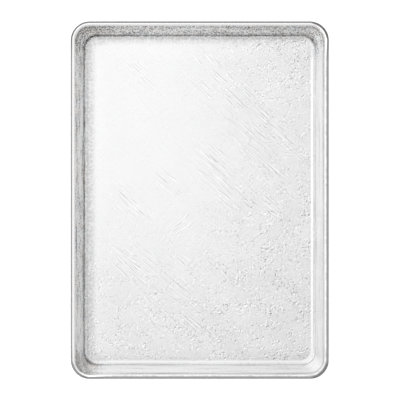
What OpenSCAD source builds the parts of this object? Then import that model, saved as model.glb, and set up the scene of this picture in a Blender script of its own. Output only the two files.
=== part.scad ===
// Jelly roll pan in the 18 by 13 inch format: one drawn aluminium sheet whose rim is
// rolled outwards around a steel wire. All sizes are in millimetres.
// The pan stands on z = 0, centred on the origin, with its length along Y.

/* [Overall] */
// Length over the rolled rim
pan_length = 457.2; // [260:0.1:680]
// Width over the rolled rim
pan_width = 330.2; // [200:0.1:480]
// Inside depth, from the floor up to the top of the rim
pan_depth = 25.4; // [16:0.1:50]

/* [Sheet] */
// Thickness of the aluminium sheet
sheet_thickness = 1.0; // [0.6:0.05:1.6]
// Slope of the walls, in degrees from upright
wall_slope = 26; // [5:0.5:35]
// Inside radius of the upright corners, the same from floor to rim
corner_radius = 18; // [12:0.5:40]
// Inside radius of the bend between the floor and the walls
foot_radius = 3.9; // [2:0.1:8]

/* [Rolled rim] */
// Diameter of the wire inside the rim
wire_diameter = 4.0; // [2.5:0.1:5]
// Clearance between the wire and the curl around it
wire_clearance = 0.1; // [0.05:0.05:0.3]
// Opening left between the raw edge of the curl and the wall
curl_opening = 0.4; // [0.2:0.1:1]
// Gap where the two ends of the wire meet, halfway along the +X side
wire_joint = 1.0; // [0.5:0.5:10]

/* [Hidden] */
$fn = 96;

// Sizes that come from an angle are kept to a thousandth, so that runs and corners meet
function neat(size) = round(size * 1000) / 1000;

// Horizontal shift of a wall for each millimetre of height
lean = tan(wall_slope);
// Sheet thickness measured level across a sloping wall
wall_level = neat(sheet_thickness / cos(wall_slope));

// The curl hugs the wire, and its outer radius is half the width of the rim
curl_bore = wire_diameter / 2 + wire_clearance;
curl_radius = curl_bore + sheet_thickness;
// Height of the wire's centre, which is also where the wall passes into the curl
rim_z = pan_depth + sheet_thickness - curl_radius;
// Level distance from the wire's centre to the inside face of the wall, at rim_z
face_to_wire = neat(curl_radius / cos(wall_slope));
// Corner radius of the wire's route
route_radius = corner_radius + face_to_wire;
// Centre of the +X +Y corner at the height of the rim
rim_corner = [
  pan_width / 2 - curl_radius - route_radius,
  pan_length / 2 - curl_radius - route_radius
];

// Angles about the wire's centre: where the wall turns into the curl, and the raw edge
curl_start = 180 - wall_slope;
curl_end = curl_start + acos((curl_bore - curl_opening) / curl_radius);

// How far cutting shapes and overlong runs reach past what they trim
spare = 2;
// How far inside the curl's disc the tip of a sloping face ends, so that the two join cleanly
tip_overlap = 0.0003;

function on_circle(radius, angle) = radius * [cos(angle), sin(angle)];

// One shape in each of the four corners
module four_corners() {
  for (side_x = [0, 1], side_y = [0, 1])
    mirror([side_x, 0, 0]) mirror([0, side_y, 0]) children();
}

// Everything on the wall side of a face at face_x, above a floor at floor_z, bend included
module inside_of(face_x, floor_z, bend) {
  translate([0, floor_z]) square([face_x - bend, rim_z + 2 * spare]);
  translate([0, floor_z + bend]) square([face_x, rim_z + 2 * spare]);
  translate([face_x - bend, floor_z + bend]) circle(bend);
}

// Section of floor, bend and wall, with the wall still upright, out from a corner's centre
module tray_section() {
  intersection() {
    difference() {
      inside_of(corner_radius + wall_level, 0, foot_radius + sheet_thickness);
      inside_of(corner_radius, sheet_thickness, foot_radius);
    }
    square([corner_radius + wall_level, rim_z + spare]);
  }
}

// Slopes upright walls outwards without changing their corner radius
module lean_out() {
  multmatrix([[1, 0, lean, 0], [0, 1, lean, 0], [0, 0, 1, 0], [0, 0, 0, 1]]) children();
}

// The +X +Y quarter of the tray, up to where the wall passes into the curl
module quarter_tray() {
  run_x = rim_corner.x + spare;
  run_y = rim_corner.y + spare;
  intersection() {
    translate([rim_corner.x, rim_corner.y, rim_z]) lean_out() translate([0, 0, -rim_z]) {
      rotate_extrude(angle = 90) tray_section();
      rotate([90, 0, 0]) linear_extrude(run_y) tray_section();
      mirror([1, -1, 0]) rotate([90, 0, 0]) linear_extrude(run_x) tray_section();
      translate([-run_x, -run_y, 0]) cube([run_x, run_y, sheet_thickness]);
    }
    translate([0, 0, -spare]) cube([pan_width, pan_length, rim_z + spare]);
  }
}

// A disc about the wire's centre, drawn on to a sloping face that ends level with it
module disc_to_face(radius, face_x) {
  circle(radius);
  polygon([[0, 0], on_circle(radius - tip_overlap, curl_start), [-face_x, 0]]);
}

// Section of the curl about the wire's centre, with the end of the wall that turns into it
module curl_section() {
  reach = 2 * curl_radius;
  difference() {
    disc_to_face(curl_radius, face_to_wire);
    disc_to_face(curl_bore, face_to_wire - wall_level);
    polygon([[0, 0], [-reach, 0], [-reach, -reach], on_circle(reach, curl_end)]);
  }
}

// Carries a section once round the wire's route
module along_rim() {
  translate([0, 0, rim_z]) {
    four_corners() translate(rim_corner)
      rotate_extrude(angle = 90) translate([route_radius, 0]) children();
    for (side = [0, 1]) {
      mirror([side, 0, 0]) translate([rim_corner.x + route_radius, 0, 0])
        rotate([90, 0, 0]) linear_extrude(2 * rim_corner.y, center = true) children();
      mirror([0, side, 0]) mirror([1, -1, 0]) translate([rim_corner.y + route_radius, 0, 0])
        rotate([90, 0, 0]) linear_extrude(2 * rim_corner.x, center = true) children();
    }
  }
}

// The drawn sheet: floor, walls and the rim rolled from its edge
module pan_body() {
  color("#c6c8ca") {
    four_corners() quarter_tray();
    along_rim() curl_section();
  }
}

// The stiffening wire, bent to the rim and butted end to end
module rim_wire() {
  color("#8d9194") difference() {
    along_rim() circle(d = wire_diameter);
    translate([rim_corner.x + route_radius, 0, rim_z])
      cube([2 * wire_diameter, wire_joint, 2 * wire_diameter], center = true);
  }
}

pan_body();
rim_wire();
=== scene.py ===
"""Jelly roll pan seen from straight above, on a white table under soft studio light.

The sheet of the pan is modelled ring by ring from its flat floor out to the raw edge of
the curl, given its thickness, and stands for the CAD node pan_body. The steel wire inside
the rim is the CAD node itself. All sizes are in metres.
"""
import math

import bmesh
import bpy
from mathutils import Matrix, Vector


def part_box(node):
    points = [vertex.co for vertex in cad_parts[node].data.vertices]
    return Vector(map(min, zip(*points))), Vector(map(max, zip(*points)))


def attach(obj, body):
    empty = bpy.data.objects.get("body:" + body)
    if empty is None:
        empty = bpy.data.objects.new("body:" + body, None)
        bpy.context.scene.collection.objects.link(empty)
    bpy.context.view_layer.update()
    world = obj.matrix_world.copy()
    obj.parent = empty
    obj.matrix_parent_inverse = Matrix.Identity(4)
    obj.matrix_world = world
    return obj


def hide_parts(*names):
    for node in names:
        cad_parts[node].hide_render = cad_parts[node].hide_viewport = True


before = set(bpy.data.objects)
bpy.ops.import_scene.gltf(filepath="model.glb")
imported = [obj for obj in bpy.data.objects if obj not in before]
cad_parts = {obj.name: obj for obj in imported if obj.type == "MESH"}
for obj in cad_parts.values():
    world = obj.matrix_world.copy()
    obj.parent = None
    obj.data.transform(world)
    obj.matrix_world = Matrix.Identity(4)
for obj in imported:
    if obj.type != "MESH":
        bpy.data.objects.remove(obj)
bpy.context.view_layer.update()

# Sizes of the drawn sheet, as in the CAD model
SHEET = 0.001
WALL_SLOPE = math.radians(26)
CORNER_RADIUS = 0.018
FOOT_RADIUS = 0.0039
WIRE_RADIUS = 0.002
WIRE_CLEARANCE = 0.0001
CURL_OPENING = 0.0004

# How finely the sheet is divided
CORNER_STEPS = 20
FOOT_STEPS = 8
WALL_STEPS = 6
CURL_STEPS = 44
PANEL = 0.016
SMOOTH_ANGLE = math.radians(40)

# In the corners the slope of the wall eases into the curl over this height
EASE_HEIGHT = 0.003

# The photograph, in its own pixels
PHOTO_SIZE = 400
RIM_WIDTH_PX = 258.3
PAN_CENTRE_PX = (199.8, 200.2)

# The camera: its height above the rim and how far it sees, and its sensor in millimetres
CAMERA_ABOVE_RIM = 1.5
FARTHEST_SEEN = 20
SENSOR = 36

# The table lies this far under the pan, so that no two faces share a plane
TABLE_GAP = 0.0001
TABLE_SIZE = 8
TABLE_GLOW = 0.42


# Places of the sheet, worked out from the CAD box

low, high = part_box("pan_body")
HALF_WIDTH, HALF_LENGTH, TOP = high[0], high[1], high[2]
CURL_BORE = WIRE_RADIUS + WIRE_CLEARANCE
CURL_RADIUS = CURL_BORE + SHEET
RIM_Z = TOP - CURL_RADIUS
LEAN = math.tan(WALL_SLOPE)
FACE_TO_WIRE = CURL_RADIUS / math.cos(WALL_SLOPE)
CURL_START = math.pi - WALL_SLOPE
CURL_END = CURL_START + math.acos((CURL_BORE - CURL_OPENING) / CURL_RADIUS) - 2 * math.pi
RIM_FACE_INSET = CURL_RADIUS + FACE_TO_WIRE
LOW_WALL = SHEET + FOOT_RADIUS
LOW_WALL_RADIUS = CORNER_RADIUS - LEAN * EASE_HEIGHT / 2

# How far in from the pan's sides the corners of the rim and of the floor are centred
RIM_CORNER = CORNER_RADIUS + FACE_TO_WIRE + CURL_RADIUS
FLOOR_CORNER = RIM_FACE_INSET + LEAN * (RIM_Z - SHEET) + LOW_WALL_RADIUS


class Ring:
    """One closed line round the pan: its inset from the rim's edge, corner radius and height."""

    def __init__(self, inset, radius, height):
        self.inset = inset
        self.radius = radius
        self.height = height

    def corner(self):
        """Centre of its corner in the +X +Y quarter."""
        return Vector((
            HALF_WIDTH - self.inset - self.radius,
            HALF_LENGTH - self.inset - self.radius,
            self.height,
        ))


def foot_rings():
    """Up the bend between floor and wall, from the edge of the flat floor."""
    rings = []
    for step in range(FOOT_STEPS + 1):
        turn = math.pi / 2 * step / FOOT_STEPS
        short = FOOT_RADIUS * (1 - math.sin(turn))
        height = SHEET + FOOT_RADIUS * (1 - math.cos(turn))
        inset = RIM_FACE_INSET + LEAN * (RIM_Z - height) + short
        rings.append(Ring(inset, LOW_WALL_RADIUS - short, height))
    return rings


def wall_rings():
    """Up the sloping wall, with the corners easing to the slope of the curl at the top."""
    ease_from = RIM_Z - EASE_HEIGHT
    steps = range(1, WALL_STEPS + 1)
    heights = [LOW_WALL + (ease_from - LOW_WALL) * step / WALL_STEPS for step in steps]
    heights += [ease_from + EASE_HEIGHT * step / WALL_STEPS for step in steps]
    rings = []
    for height in heights:
        eased = max(0.0, (height - ease_from) / EASE_HEIGHT)
        radius = LOW_WALL_RADIUS + LEAN * EASE_HEIGHT / 2 * eased ** 2
        rings.append(Ring(RIM_FACE_INSET + LEAN * (RIM_Z - height), radius, height))
    return rings


def curl_rings():
    """Over, round and under the wire, to the raw edge."""
    rings = []
    for step in range(CURL_STEPS + 1):
        angle = CURL_START + (CURL_END - CURL_START) * step / CURL_STEPS
        out = CURL_RADIUS * math.cos(angle)
        radius = CORNER_RADIUS + FACE_TO_WIRE + out
        rings.append(Ring(CURL_RADIUS - out, radius, RIM_Z + CURL_RADIUS * math.sin(angle)))
    return rings


# Modelling helpers

def edit_mesh(piece):
    """The mesh of the piece in edit mode."""
    return bmesh.from_edit_mesh(piece.data)


def select_only(piece, wanted):
    """Selects the wanted vertices, by index, and what they enclose."""
    mesh = edit_mesh(piece)
    for part in list(mesh.faces) + list(mesh.edges):
        part.select = False
    for vertex in mesh.verts:
        vertex.select = vertex.index in wanted
    mesh.select_flush(True)
    bmesh.update_edit_mesh(piece.data)


def selected(piece):
    """Indices of the selected vertices."""
    mesh = edit_mesh(piece)
    mesh.verts.ensure_lookup_table()
    mesh.verts.index_update()
    return [vertex.index for vertex in mesh.verts if vertex.select]


def draw_out(piece, before, after):
    """Extrudes the selected ring, and moves each quarter of it to the next ring."""
    bpy.ops.mesh.extrude_region_move()
    edge = selected(piece)
    mesh = edit_mesh(piece)
    mesh.verts.ensure_lookup_table()
    places = {index: mesh.verts[index].co.copy() for index in edge}
    grow = after.radius / before.radius
    for side_x, side_y in ((-1, -1), (-1, 1), (1, -1), (1, 1)):
        quarter = {i for i in edge if places[i].x * side_x > 0 and places[i].y * side_y > 0}
        select_only(piece, quarter)
        start, end = before.corner(), after.corner()
        for corner in (start, end):
            corner.x *= side_x
            corner.y *= side_y
        bpy.ops.transform.resize(value=(grow, grow, 1), center_override=start)
        bpy.ops.transform.translate(value=end - start)
    select_only(piece, set(edge))


def cut_panels(ring):
    """Cuts straight stretches into panels, across floor, walls and rim."""
    for axis in (0, 1):
        reach = ring.corner()[axis]
        count = math.ceil(2 * reach / PANEL)
        for step in range(count + 1):
            point, normal = [0, 0, 0], [0, 0, 0]
            point[axis] = -reach + 2 * reach * step / count
            normal[axis] = 1
            bpy.ops.mesh.select_all(action="SELECT")
            bpy.ops.mesh.bisect(plane_co=point, plane_no=normal)


def poke_floor_corners():
    """Divides the many-sided faces in the corners of the floor into a fan of triangles."""
    bpy.ops.mesh.select_all(action="DESELECT")
    bpy.ops.mesh.select_mode(type="FACE")
    bpy.ops.mesh.select_face_by_sides(number=4, type="GREATER")
    bpy.ops.mesh.poke()


def floor_blank(floor):
    """The flat floor, a plane whose corners are rounded, left in edit mode."""
    middle = floor.corner()
    bpy.ops.object.select_all(action="DESELECT")
    bpy.ops.mesh.primitive_plane_add(size=1, location=(0, 0, SHEET))
    piece = bpy.context.object
    piece.name = "pan_sheet"
    piece.scale = (2 * (middle.x + floor.radius), 2 * (middle.y + floor.radius), 1)
    bpy.ops.object.transform_apply(location=True, rotation=True, scale=True)
    bpy.ops.object.mode_set(mode="EDIT")
    bpy.ops.mesh.select_mode(type="VERT")
    bpy.ops.mesh.select_all(action="SELECT")
    bpy.ops.mesh.bevel(
        affect="VERTICES", offset=floor.radius, segments=CORNER_STEPS, profile=0.5)
    return piece


def thicken(piece):
    """Gives the sheet its thickness, outwards, with the second finish on the outside."""
    thickness = piece.modifiers.new("thickness", "SOLIDIFY")
    thickness.thickness = SHEET
    thickness.offset = -1
    thickness.material_offset = 1
    thickness.use_even_offset = True
    bpy.ops.object.modifier_apply(modifier=thickness.name)


def pan_sheet(inside_finish, outside_finish):
    """The whole drawn sheet, from floor to raw edge."""
    rings = foot_rings() + wall_rings() + curl_rings()
    piece = floor_blank(rings[0])
    bpy.ops.mesh.select_all(action="SELECT")
    bpy.ops.mesh.region_to_loop()
    for before, after in zip(rings, rings[1:]):
        draw_out(piece, before, after)
    cut_panels(rings[0])
    poke_floor_corners()
    bpy.ops.object.mode_set(mode="OBJECT")
    piece.data.materials.append(inside_finish)
    piece.data.materials.append(outside_finish)
    thicken(piece)
    bpy.ops.object.shade_smooth_by_angle(angle=SMOOTH_ANGLE)
    return piece


# Node helpers

# The middle of a noise, about which it swings and where its level lines run
NOISE_MIDDLE = 0.5


class Recipe:
    """Builds the nodes of one material or world, left to right."""

    def __init__(self, owner):
        owner.use_nodes = True
        self.tree = owner.node_tree

    def named(self, name):
        """A node that the material or world starts with."""
        return self.tree.nodes[name]

    def feed(self, socket, value):
        """Links a socket to another, or sets it to a value."""
        if isinstance(value, bpy.types.NodeSocket):
            self.tree.links.new(value, socket)
        else:
            socket.default_value = value

    def add(self, kind, settings=None, **inputs):
        """A new node. Its inputs are given by name, or by number after an underscore."""
        node = self.tree.nodes.new("ShaderNode" + kind)
        for setting, value in (settings or {}).items():
            setattr(node, setting, value)
        for name, value in inputs.items():
            key = int(name[1:]) if name[0] == "_" else name.replace("_", " ")
            self.feed(node.inputs[key], value)
        return node

    def maths(self, operation, first, second=0.0):
        return self.add("Math", {"operation": operation}, _0=first, _1=second).outputs[0]

    def plus(self, first, *others):
        for other in others:
            first = self.maths("ADD", first, other)
        return first

    def minus(self, first, second):
        return self.maths("SUBTRACT", first, second)

    def times(self, first, *others):
        for other in others:
            first = self.maths("MULTIPLY", first, other)
        return first

    def total(self, *parts):
        """The sum of its parts, where a tuple stands for the product of its members."""
        return self.plus(*[
            self.times(*part) if isinstance(part, tuple) else part for part in parts])

    def larger(self, first, second):
        return self.maths("MAXIMUM", first, second)

    def smaller(self, first, second):
        return self.maths("MINIMUM", first, second)

    def diagonal(self, first, second):
        """How long the diagonal of two lengths at right angles is."""
        return self.maths("SQRT", self.total((first, first), (second, second)))

    def toward(self, direction, side):
        """How far a direction points to a side."""
        return self.add(
            "VectorMath", {"operation": "DOT_PRODUCT"}, _0=direction, _1=side,
        ).outputs["Value"]

    def spread(self, value, from_low, from_high, to_low=0.0, to_high=1.0):
        """Moves a value smoothly from one range to another, and holds it at both ends."""
        return self.add(
            "MapRange", {"interpolation_type": "SMOOTHSTEP"}, Value=value,
            _1=from_low, _2=from_high, _3=to_low, _4=to_high,
        ).outputs["Result"]

    def fall(self, value, start, end):
        """One up to the start, falling to zero at the end."""
        return self.spread(value, start, end, 1.0, 0.0)

    def band(self, value, middle, half_width):
        """One at the middle, falling to zero at half_width from it."""
        return self.fall(self.maths("ABSOLUTE", self.minus(value, middle)), 0.0, half_width)

    def laid(self, place, size, turn=0.0, shift=(0, 0, 0)):
        """Coordinates turned about Z and divided by the size of the pattern."""
        if not isinstance(size, tuple):
            size = (size, size, size)
        return self.add(
            "Mapping", {"vector_type": "TEXTURE"}, Vector=place,
            Location=shift, Rotation=(0, 0, turn), Scale=size,
        ).outputs["Vector"]

    def noise(self, place, size, turn=0.0, shift=(0, 0, 0), detail=2.0, roughness=0.5):
        """Cloudy noise of one size all round, or of a size for each axis."""
        return self.add(
            "TexNoise", Vector=self.laid(place, size, turn, shift), Scale=1.0,
            Detail=detail, Roughness=roughness,
        ).outputs["Fac"]

    def centred(self, value):
        """A noise that swings about zero."""
        return self.minus(value, NOISE_MIDDLE)

    def colour(self, red, green, blue):
        return self.add("CombineColor", Red=red, Green=green, Blue=blue).outputs["Color"]

    def metal(self, colour, roughness, relief):
        """Feeds the material's shader, as bare metal. The relief is a height in metres."""
        bump = self.add("Bump", Height=relief, Distance=1.0, Strength=1.0)
        shader = self.named("Principled BSDF")
        self.feed(shader.inputs["Base Color"], colour)
        self.feed(shader.inputs["Roughness"], roughness)
        self.feed(shader.inputs["Normal"], bump.outputs["Normal"])
        shader.inputs["Metallic"].default_value = 1.0


# Where things are on the drawn sheet

# In the corners a point is this far beyond the straight sides, both ways, or farther
WELL_BEYOND = 0.007

# Height over which the floor turns into wall, and inset over which the rim does
FOOT = (0.0015, 0.0045)
RIM_EDGE = (0.0054, 0.0062)

# Distances from the pan's sides between which a part is in full and has ended
SHADED_SIDE = (0.020, 0.054)
FRONT_SIDE = (0.020, 0.045)
FAR_CORNER = (0.022, 0.075)


class SheetPlaces:
    """Where a point of the sheet lies, as sockets that its patterns are placed by."""

    def __init__(self, recipe):
        self.place = recipe.add("TexCoord").outputs["Object"]
        self.x, self.y, self.z = recipe.add("SeparateXYZ", Vector=self.place).outputs
        self.across = recipe.maths("ABSOLUTE", self.x)
        self.along = recipe.maths("ABSOLUTE", self.y)
        beyond = self.beyond_sides(recipe, RIM_CORNER)
        self.inset = recipe.minus(RIM_CORNER, recipe.diagonal(*beyond))
        self.in_corner = recipe.spread(recipe.smaller(*beyond), 0.0, WELL_BEYOND)
        self.floor_inset = recipe.minus(
            FLOOR_CORNER, recipe.diagonal(*self.beyond_sides(recipe, FLOOR_CORNER)))

    def beyond_sides(self, recipe, corner):
        """How far a point is past the ends of the straight sides, across and along."""
        return (
            recipe.larger(recipe.minus(self.across, HALF_WIDTH - corner), 0.0),
            recipe.larger(recipe.minus(self.along, HALF_LENGTH - corner), 0.0),
        )


class SheetZones:
    """How far a point belongs to each part of the sheet, from zero to one."""

    def __init__(self, recipe, at):
        self.floor = recipe.fall(at.z, *FOOT)
        self.rim = recipe.fall(at.inset, *RIM_EDGE)
        self.wall = recipe.times(recipe.minus(1.0, self.floor), recipe.minus(1.0, self.rim))
        self.left = self.near_left(recipe, at, *SHADED_SIDE)
        self.back = self.near_back(recipe, at, *SHADED_SIDE)
        full, ended = FRONT_SIDE
        self.front = recipe.spread(at.y, ended - HALF_LENGTH, full - HALF_LENGTH)
        self.far_corner = recipe.times(
            self.near_left(recipe, at, *FAR_CORNER), self.near_back(recipe, at, *FAR_CORNER))
        self.shaded = recipe.larger(self.left, self.back)
        self.lit = recipe.minus(1.0, self.shaded)
        self.add_wear(recipe, at)

    def near_left(self, recipe, at, full, ended):
        """One near the left side, and zero from where it has ended."""
        return recipe.fall(at.x, full - HALF_WIDTH, ended - HALF_WIDTH)

    def near_back(self, recipe, at, full, ended):
        """One near the back, and zero from where it has ended."""
        return recipe.spread(at.y, HALF_LENGTH - ended, HALF_LENGTH - full)

    def add_wear(self, recipe, at):
        """How worn the floor is, and how far it is from the light, which sets a painted shade on
        the floor.

        It is worn more to the right and the front, and in the back right corner.
        """
        to_right = recipe.spread(at.x, -0.4 * HALF_WIDTH, 0.9 * HALF_WIDTH, 0.0, 0.45)
        to_front = recipe.spread(at.y, 0.3 * HALF_LENGTH, -HALF_LENGTH, 0.0, 0.50)
        to_back = recipe.spread(at.y, 0.5 * HALF_LENGTH, 0.9 * HALF_LENGTH, 0.0, 0.6)
        self.worn = recipe.total(to_right, to_front, (to_right, to_back))
        self.far = recipe.diagonal(to_right, to_front)


# Marks on the drawn sheet

SCUFF_TURN = math.radians(-42)
CROSS_TURN = math.radians(42)

# Groups of scuffs on the floor: centre, half length and half width
SCUFF_GROUPS = (
    (0.066, 0.112, 0.095, 0.034),
    (0.020, 0.170, 0.040, 0.016),
    (-0.079, 0.167, 0.030, 0.012),
    (-0.088, -0.003, 0.038, 0.016),
    (-0.037, 0.019, 0.024, 0.012),
    (-0.081, -0.086, 0.045, 0.026),
    (-0.018, -0.085, 0.026, 0.014),
    (0.027, -0.085, 0.030, 0.014),
    (0.109, 0.193, 0.036, 0.018),
    (0.020, 0.055, 0.030, 0.018),
    (0.094, -0.009, 0.030, 0.014),
    (-0.057, -0.146, 0.034, 0.016),
    (0.060, 0.005, 0.040, 0.014),
    (-0.030, -0.115, 0.050, 0.020),
    (0.030, 0.020, 0.060, 0.020),
    (0.085, 0.045, 0.050, 0.018),
    (0.000, -0.170, 0.045, 0.016),
)
CROSS_GROUPS = (
    (-0.024, -0.034, 0.034, 0.012),
    (0.083, -0.042, 0.024, 0.010),
    (0.061, 0.013, 0.016, 0.010),
)

# The faint brown stain on the far wall: centre, half length and half width
BAKED_ON = ((-0.135, 0.215, 0.020, 0.012),)

# Scuffs: length and spacing of the lines, and the step from their bright to their dark flank
SCUFF_LINE = (0.085, 0.0037)
SCUFF_STEP = (0.0006, 0.0006, 0)
CROSS_LINE = (0.050, 0.0040)
CROSS_STEP = (0.0007, -0.0007, 0)

# Size of the scuffs' noise upwards, and how strong scuffs are outside their groups
SCUFF_UPWARDS = 0.01
OUTSIDE_GROUPS = 0.12

# Winding marks: length of those along and across the scuffs, spacing across and up, and step
WINDING_LENGTH = 0.0085
CROSSING_LENGTH = 0.0060
WINDING_SPACING = (0.0046, 0.006)
WINDING_STEP = (-0.0009, 0.0009, 0)

# How far from its middle a noise still makes a line
SCUFF_HALF_LINE = 0.05
WINDING_HALF_LINE = 0.085

# Sizes of the noises, one all round or one for each axis
SPECK = 0.0014
CLOUD = 0.016
TONE = 0.040
SHADOW_MOTTLE = 0.0032
BROWN_PATCH = 0.012
BEND_WAVE = 0.006
STREAK = (0.004, 0.014, 0.0032)
DRAWING_LINE = (0.06, 0.06, 0.0030)
GRAIN = (0.0004, 0.0012, 0.0006)

# How far the lines at the bends stray
BEND_STRAY = 0.0035


def embossed(recipe, marks_at, step):
    """Marks, with a painted highlight on one flank and painted shade on the other, as if lit
    from one side.
    """
    marks = marks_at((0, 0, 0))
    return marks, recipe.minus(marks, marks_at(step))


def grouped(recipe, place, groups, turn):
    """One inside the groups, which are long along the turned X axis, and zero outside them."""
    inside = 0.0
    for middle_x, middle_y, reach, half_width in groups:
        near = recipe.laid(place, (reach, half_width, 1.0), turn, (middle_x, middle_y, SHEET))
        distance = recipe.add("VectorMath", {"operation": "LENGTH"}, _0=near).outputs["Value"]
        inside = recipe.larger(recipe.fall(distance, 0.2, 1.3), inside)
    return inside


def scuffs(recipe, place, groups, turn, line, step):
    """Thin long lines side by side, cut into lengths, in groups on the floor."""
    length, spacing = line

    def lines_at(shift):
        bent = recipe.noise(place, (length, spacing, SCUFF_UPWARDS), turn, shift, detail=1.0)
        return recipe.band(bent, NOISE_MIDDLE, SCUFF_HALF_LINE)

    lengths = recipe.noise(
        place, (0.24 * length, 1.3 * spacing, SCUFF_UPWARDS), turn, detail=1.0)
    share = recipe.times(
        recipe.plus(grouped(recipe, place, groups, turn), OUTSIDE_GROUPS),
        recipe.spread(lengths, 0.45, 0.56))
    marks, light = embossed(recipe, lines_at, step)
    return recipe.times(marks, share), recipe.times(light, share)


def winding_marks(recipe, place, turn, length):
    """Short thin lines that wind about the turned X axis."""
    def winding_at(shift):
        bent = recipe.noise(place, (length, *WINDING_SPACING), turn, shift, detail=1.0)
        return recipe.band(bent, NOISE_MIDDLE, WINDING_HALF_LINE)

    lengths = recipe.noise(place, (0.6 * length, *WINDING_SPACING), turn, detail=1.0)
    cut = recipe.spread(lengths, 0.53, 0.59)
    marks, light = embossed(recipe, winding_at, WINDING_STEP)
    return recipe.times(marks, cut), recipe.times(light, cut)


class SheetMarks:
    """The marks of drawing and of use on the inside of the sheet, with painted highlight and
    shade on their flanks.
    """

    def __init__(self, recipe, place):
        self.scuff, self.scuff_light = scuffs(
            recipe, place, SCUFF_GROUPS, SCUFF_TURN, SCUFF_LINE, SCUFF_STEP)
        self.cross, self.cross_light = scuffs(
            recipe, place, CROSS_GROUPS, CROSS_TURN, CROSS_LINE, CROSS_STEP)
        self.winding, self.winding_light = winding_marks(
            recipe, place, SCUFF_TURN, WINDING_LENGTH)
        self.crossing_light = winding_marks(recipe, place, CROSS_TURN, CROSSING_LENGTH)[1]
        fine = recipe.noise(place, SPECK, detail=0.0)
        self.specks = recipe.minus(
            recipe.spread(fine, 0.60, 0.72), recipe.spread(fine, 0.40, 0.28))
        self.clouds = recipe.noise(place, CLOUD, detail=3.0, roughness=0.6)
        self.tones = recipe.noise(place, TONE)
        self.streaks = recipe.centred(recipe.noise(place, STREAK))
        self.lines = recipe.centred(recipe.noise(place, DRAWING_LINE))
        self.grain = recipe.noise(place, GRAIN, detail=3.0)
        self.wobble = recipe.times(
            recipe.centred(recipe.noise(place, BEND_WAVE, detail=3.0)), BEND_STRAY)


# Finish of the drawn sheet, with painted light and shade at its bends, rim and shaded sides

# Lines of painted shade and painted highlight along the bends: the height or inset of their
# middle, and their half width
SHADED_FOOT_LINE = (LOW_WALL + 0.0004, 0.0031)
SHADED_FLOOR_LINE = (0.0023, 0.0009)
LIT_FOOT_LOWER = (0.0024, 0.0010)
LIT_FOOT_UPPER = (0.0050, 0.0015)
BURNISH_HIGHLIGHT_LINE = (0.0193, 0.0032)
EDGE_SHADE_LINE = (0.0228, 0.0024)
CREASE_LINE = (0.0222, 0.0030)

# Insets or heights between which a part of the painted shade and highlight begins or ends
LOW_DOWN = (0.013, 0.0145)
FLOOR_EDGE_SHADE = (0.021, 0.060)
UNDER_RIM = (0.0054, 0.0064)
BEAD = (0.0026, 0.0036)
FLANK = (0.0013, 0.0032)
FLANK_HEIGHT = (RIM_Z - 0.0025, RIM_Z + 0.0005)
WALL_SHADOW_REACH = (0.018, 0.029)


# Each share below is how much brighter a feature makes the sheet, or darker where negative

def floor_share(recipe, zone, marks):
    """Scuffs and winding marks, shown by a painted highlight and painted shade on their flanks,
    and specks and cloudy tones on the floor.
    """
    patches = recipe.spread(marks.clouds, 0.38, 0.60, 0.25, 1.20)
    marked = recipe.smaller(
        recipe.total((recipe.maths("POWER", zone.worn, 1.5), 1.44), 0.06), 0.70)
    small_marks = recipe.total(
        (marks.winding_light, 0.75), (marks.crossing_light, 0.75), (marks.specks, 0.21))
    toned = recipe.plus(zone.worn, 0.2)
    return recipe.total(
        (marks.scuff_light, 0.38),
        (marks.cross_light, 0.26),
        (small_marks, patches, marked),
        (recipe.centred(marks.clouds), toned, -0.08),
        (recipe.centred(marks.tones), toned, -0.20),
    )


def wall_share(recipe, zone, marks):
    """Specks, streaks and drawing lines on the walls, strongest on the shaded ones, where the
    stronger contrast is painted light and shade.
    """
    return recipe.total(
        (marks.specks, recipe.total(0.12, (zone.left, 0.35), (zone.back, 0.75))),
        (marks.streaks, recipe.total(0.20, (zone.shaded, 1.3))),
        (marks.lines, recipe.total(1.0, (zone.left, 0.6))),
    )


def foot_light_and_shade(recipe, at, zone, wobble):
    """Painted shade: dark lines where the floor bends up into the walls, and a painted highlight
    line on the shaded sides.
    """
    low_down = recipe.spread(at.inset, *LOW_DOWN)
    shaded_foot_shade = recipe.times(
        recipe.band(recipe.total(at.z, (wobble, 0.5)), *SHADED_FOOT_LINE), zone.shaded,
        recipe.total(0.63, (at.in_corner, 0.16), (wobble, 130)))
    shaded_edge_highlight = recipe.times(
        recipe.band(recipe.total(at.z, (wobble, 0.3)), *SHADED_FLOOR_LINE), zone.shaded,
        recipe.total(0.16, (wobble, 120)))
    lower = recipe.minus(0.22, recipe.times(zone.front, 0.16))
    upper = recipe.total(0.18, (zone.front, 0.17))
    lit_foot_shade = recipe.total(
        (recipe.band(at.z, *LIT_FOOT_LOWER), lower), (recipe.band(at.z, *LIT_FOOT_UPPER), upper))
    return [
        recipe.times(shaded_foot_shade, low_down, -1.0),
        shaded_edge_highlight,
        recipe.times(lit_foot_shade, zone.lit, low_down, -1.0),
    ]


def floor_edge_shares(recipe, at, zone, burnish_highlight):
    """A painted highlight along the polished line round the floor on the lit sides, and painted
    shade on the floor just inside it.
    """
    edge_shade = recipe.total(
        (recipe.band(at.floor_inset, *EDGE_SHADE_LINE), 0.5),
        recipe.fall(at.floor_inset, *FLOOR_EDGE_SHADE))
    return [
        recipe.times(burnish_highlight, recipe.total(0.155, (zone.front, -0.06), (at.in_corner, 0.05))),
        recipe.times(
            edge_shade, zone.lit, zone.floor, recipe.total(0.06, (zone.front, 0.05)), -1.0),
    ]


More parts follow.
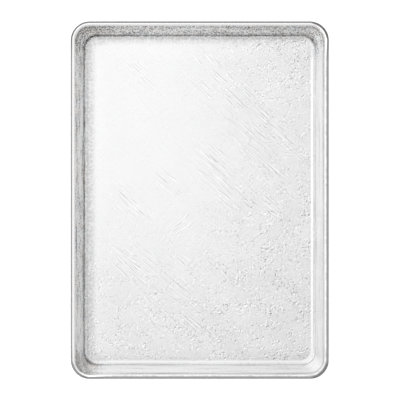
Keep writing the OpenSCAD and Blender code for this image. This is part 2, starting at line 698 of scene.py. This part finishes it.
def rim_shares(recipe, at, zone, wobble):
    """Painted shade in the crease under the rim, a painted highlight on the bead of the shaded
    sides, and painted shade on the bead's outer flank.
    """
    crease_shade = recipe.times(recipe.band(at.z, *CREASE_LINE), recipe.spread(at.inset, *UNDER_RIM))
    bead_highlight = recipe.times(recipe.spread(at.inset, *BEAD), zone.rim, zone.shaded)
    flank_end = recipe.total(
        at.inset, -0.0003,
        (recipe.minus(recipe.times(wobble, 0.5), 0.0014), zone.lit),
        (zone.front, -0.0005),
        (at.in_corner, recipe.minus(1.0, zone.far_corner), -0.0010),
        (at.in_corner, zone.lit, 0.0006),
    )
    flank_shade = recipe.times(recipe.fall(flank_end, *FLANK), recipe.spread(at.z, *FLANK_HEIGHT))
    return [
        recipe.times(crease_shade, recipe.minus(recipe.times(zone.lit, -0.10), 0.28)),
        recipe.times(bead_highlight, 0.35),
        recipe.times(flank_shade, recipe.total(
            -0.59, (zone.left, -0.09), (zone.back, -0.23), (zone.left, zone.back, 0.08),
            (at.in_corner, recipe.total(-0.03, (zone.lit, -0.13))))),
    ]


def wall_shadow_share(recipe, at, zone):
    """Painted shadow of the shaded walls on the floor along them, mottled by noise."""
    inset = recipe.minus(at.floor_inset, recipe.times(zone.left, 0.005))
    floor_shadow = recipe.times(recipe.fall(inset, *WALL_SHADOW_REACH), zone.shaded, zone.floor)
    shadow_mottle = recipe.spread(recipe.noise(at.place, SHADOW_MOTTLE), 0.36, 0.62)
    return recipe.times(floor_shadow, recipe.total(-0.11, (shadow_mottle, -0.17)))


def wall_shade_shares(recipe, at, zone):
    """Painted shade: the walls are darker on the shaded sides and in their corners, most of all
    near the far corner.
    """
    return [
        recipe.times(zone.back, zone.wall, -0.10),
        recipe.times(zone.far_corner, zone.wall, -0.215),
        recipe.times(zone.shaded, zone.wall, recipe.total(
            -0.045, (at.in_corner, -0.06), (zone.left, zone.front, -0.30))),
    ]


def warm_tint(recipe, at, zone):
    """How far the metal leans to brown, or to blue where negative."""
    patchy = recipe.minus(recipe.noise(at.place, BROWN_PATCH, detail=3.0), 0.46)
    return recipe.total(
        (patchy, recipe.total(0.015, (zone.wall, zone.shaded, 0.16))),
        (at.in_corner, zone.wall, zone.shaded, 0.015),
        (grouped(recipe, at.place, BAKED_ON, 0.0), zone.wall, 0.035),
    )


def drawn_aluminium():
    """The inside of the pan and its rim: worn, with scuffs, drawing lines and duller bends."""
    material = bpy.data.materials.new("drawn_aluminium")
    recipe = Recipe(material)
    at = SheetPlaces(recipe)
    zone = SheetZones(recipe, at)
    marks = SheetMarks(recipe, at.place)
    # The polished line round the floor of the lit sides: lower roughness, and a painted
    # highlight in its colour
    burnish_highlight = recipe.times(recipe.band(at.floor_inset, *BURNISH_HIGHLIGHT_LINE), zone.lit)

    # Painted light: the walls of the lit sides are made a little brighter
    bright = recipe.total(
        0.98, (zone.rim, 0.02), (zone.floor, -0.05), (zone.wall, zone.lit, 0.05))
    for share in (
        recipe.times(floor_share(recipe, zone, marks), zone.floor, recipe.minus(1.0, burnish_highlight)),
        recipe.times(wall_share(recipe, zone, marks), zone.wall),
        *foot_light_and_shade(recipe, at, zone, marks.wobble),
        *floor_edge_shares(recipe, at, zone, burnish_highlight),
        *rim_shares(recipe, at, zone, marks.wobble),
        # Painted shade: the floor darkens away from the lit side
        recipe.times(zone.far, zone.floor, -0.22),
        wall_shadow_share(recipe, at, zone),
        *wall_shade_shares(recipe, at, zone),
    ):
        bright = recipe.times(bright, recipe.plus(1.0, share))
    tint = warm_tint(recipe, at, zone)
    colour = recipe.colour(
        recipe.times(bright, recipe.plus(1.0, tint)),
        bright,
        recipe.times(bright, recipe.minus(1.003, tint)))

    roughness = recipe.total(
        0.31, (zone.floor, 0.10), (zone.rim, -0.06), (burnish_highlight, -0.08),
        (recipe.centred(marks.grain), 0.10),
        (recipe.plus(marks.scuff, marks.winding), 0.03),
    )
    relief = recipe.total(
        (recipe.plus(marks.scuff, marks.cross), zone.floor, 0.00003),
        (marks.winding, 0.00002),
        (marks.specks, 0.000008),
        (marks.grain, 0.000012),
        (recipe.plus(marks.streaks, marks.lines), zone.wall, 0.00004),
    )
    recipe.metal(colour, roughness, relief)
    return material


# Sizes of the patterns on the outside, where rolling lines run along the floor
ROLLING_LINE = (0.0010, 0.04, 0.0010)
OUTER_DRAWING_LINE = (0.03, 0.03, 0.0012)
OUTER_CLOUD = 0.025
OUTER_SPECK = 0.0017


def mill_aluminium():
    """The outside of the pan: duller than the inside, with drawing lines round the walls."""
    material = bpy.data.materials.new("mill_aluminium")
    recipe = Recipe(material)
    place = recipe.add("TexCoord").outputs["Object"]
    height = recipe.add("SeparateXYZ", Vector=place).outputs["Z"]
    on_wall = recipe.spread(height, *FOOT)
    rolled = recipe.noise(place, ROLLING_LINE, detail=3.0, roughness=0.6)
    cloudy = recipe.noise(place, OUTER_CLOUD, detail=3.0)
    drawn = recipe.noise(place, OUTER_DRAWING_LINE, detail=3.0, roughness=0.6)
    lines = recipe.centred(
        recipe.total((rolled, recipe.minus(1.0, on_wall)), (drawn, on_wall)))
    fine = recipe.noise(place, OUTER_SPECK)
    bright = recipe.total(
        0.56, (lines, 0.35), (recipe.centred(cloudy), 0.16), (recipe.centred(fine), 0.16))
    recipe.metal(
        recipe.colour(bright, bright, recipe.times(bright, 1.005)),
        recipe.total(0.36, (cloudy, 0.16)),
        recipe.total((lines, 0.00005), (fine, 0.00002)))
    return material


# Sizes of the patterns on the wire
SPANGLE = 0.0022
HAZE = 0.004
SCRATCH = 0.0003


def galvanised_steel():
    """The wire inside the rim: zinc with a fine spangle, a little blue."""
    material = bpy.data.materials.new("galvanised_steel")
    recipe = Recipe(material)
    place = recipe.add("TexCoord").outputs["Object"]
    crystals = recipe.add("TexVoronoi", Vector=recipe.laid(place, SPANGLE), Scale=1.0)
    spangle = recipe.add("SeparateColor", Color=crystals.outputs["Color"]).outputs["Red"]
    haze = recipe.noise(place, HAZE, detail=4.0)
    scratches = recipe.noise(place, SCRATCH, detail=3.0)
    bright = recipe.total(0.46, (spangle, 0.10), (recipe.centred(haze), 0.16))
    recipe.metal(
        recipe.colour(recipe.times(bright, 0.98), bright, recipe.times(bright, 1.03)),
        recipe.total(0.38, (haze, 0.2)),
        recipe.total((scratches, 0.00001), (spangle, 0.000008)))
    return material


# Stage, lights and camera

def white_table():
    """A white table that glows a little, so that it stays white where the pan shades it."""
    bpy.ops.object.select_all(action="DESELECT")
    bpy.ops.mesh.primitive_plane_add(size=TABLE_SIZE, location=(0, 0, -TABLE_GAP))
    table = bpy.context.object
    table.name = "white_table"
    material = bpy.data.materials.new("white_table")
    material.use_nodes = True
    shader = material.node_tree.nodes["Principled BSDF"]
    shader.inputs["Base Color"].default_value = (0.9, 0.9, 0.9, 1)
    shader.inputs["Roughness"].default_value = 0.8
    shader.inputs["Emission Color"].default_value = (1, 1, 1, 1)
    shader.inputs["Emission Strength"].default_value = TABLE_GLOW
    table.data.materials.append(material)


# Level directions to the tent's lit side and to the lamp behind its cloth
TENT_LIT_SIDE = Vector((-0.83, 0.56, 0.0))
LAMP_SIDE = Vector((-0.7, 0.7, 0.0))

# Lamp and reflector card: strength, and the middle and half width of their height in the sky
LAMP_STRENGTH = 0.60
LAMP_HEIGHT = (0.34, 0.28)
CARD_STRENGTH = 0.50
CARD_HEIGHT = (0.30, 0.24)


def studio_tent():
    """Soft light all round, brightest on the upper left side, and darker near the horizon.

    A lamp behind the cloth adds to the lit side, and a reflector card to the other side.
    """
    world = bpy.data.worlds.new("studio_tent")
    bpy.context.scene.world = world
    recipe = Recipe(world)
    direction = recipe.add("TexCoord").outputs["Generated"]
    to_left = recipe.toward(direction, TENT_LIT_SIDE)
    to_lamp = recipe.toward(direction, LAMP_SIDE)
    height = recipe.add("SeparateXYZ", Vector=direction).outputs["Z"]
    overhead = recipe.spread(height, 0.55, 0.85)
    side = recipe.times(
        recipe.spread(to_left, -0.30, 0.20, 0.59, 1.13),
        recipe.spread(height, -0.05, 0.38, 0.25, 1.0))
    lamp = recipe.times(recipe.spread(to_lamp, 0.65, 0.93), recipe.band(height, *LAMP_HEIGHT))
    card = recipe.times(recipe.spread(to_left, -0.10, -0.40), recipe.band(height, *CARD_HEIGHT))
    background = recipe.named("Background")
    background.inputs["Color"].default_value = (1, 1, 1, 1)
    recipe.feed(background.inputs["Strength"], recipe.total(
        (side, recipe.minus(1.0, overhead)),
        (overhead, recipe.spread(to_left, -0.35, 0.35, 0.87, 1.21)),
        (lamp, LAMP_STRENGTH),
        (card, CARD_STRENGTH),
    ))


def photo_camera():
    """Straight above the pan, placed and zoomed as the photograph frames it."""
    metres_per_px = 2 * HALF_WIDTH / RIM_WIDTH_PX
    view_width = metres_per_px * PHOTO_SIZE
    centre = Vector((
        (PHOTO_SIZE / 2 - PAN_CENTRE_PX[0]) * metres_per_px,
        (PAN_CENTRE_PX[1] - PHOTO_SIZE / 2) * metres_per_px,
        RIM_Z + CAMERA_ABOVE_RIM,
    ))
    bpy.ops.object.camera_add(location=centre, rotation=(0, 0, 0))
    camera = bpy.context.object
    camera.name = "photo_camera"
    camera.data.sensor_width = SENSOR
    camera.data.lens = SENSOR * CAMERA_ABOVE_RIM / view_width
    camera.data.clip_end = FARTHEST_SEEN
    bpy.context.scene.camera = camera


sheet = pan_sheet(drawn_aluminium(), mill_aluminium())
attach(sheet, "root")
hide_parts("pan_body")
bpy.data.objects["rim_wire"].material_slots[0].material = galvanised_steel()

white_table()
studio_tent()
photo_camera()
bpy.context.scene.view_settings.view_transform = "Standard"
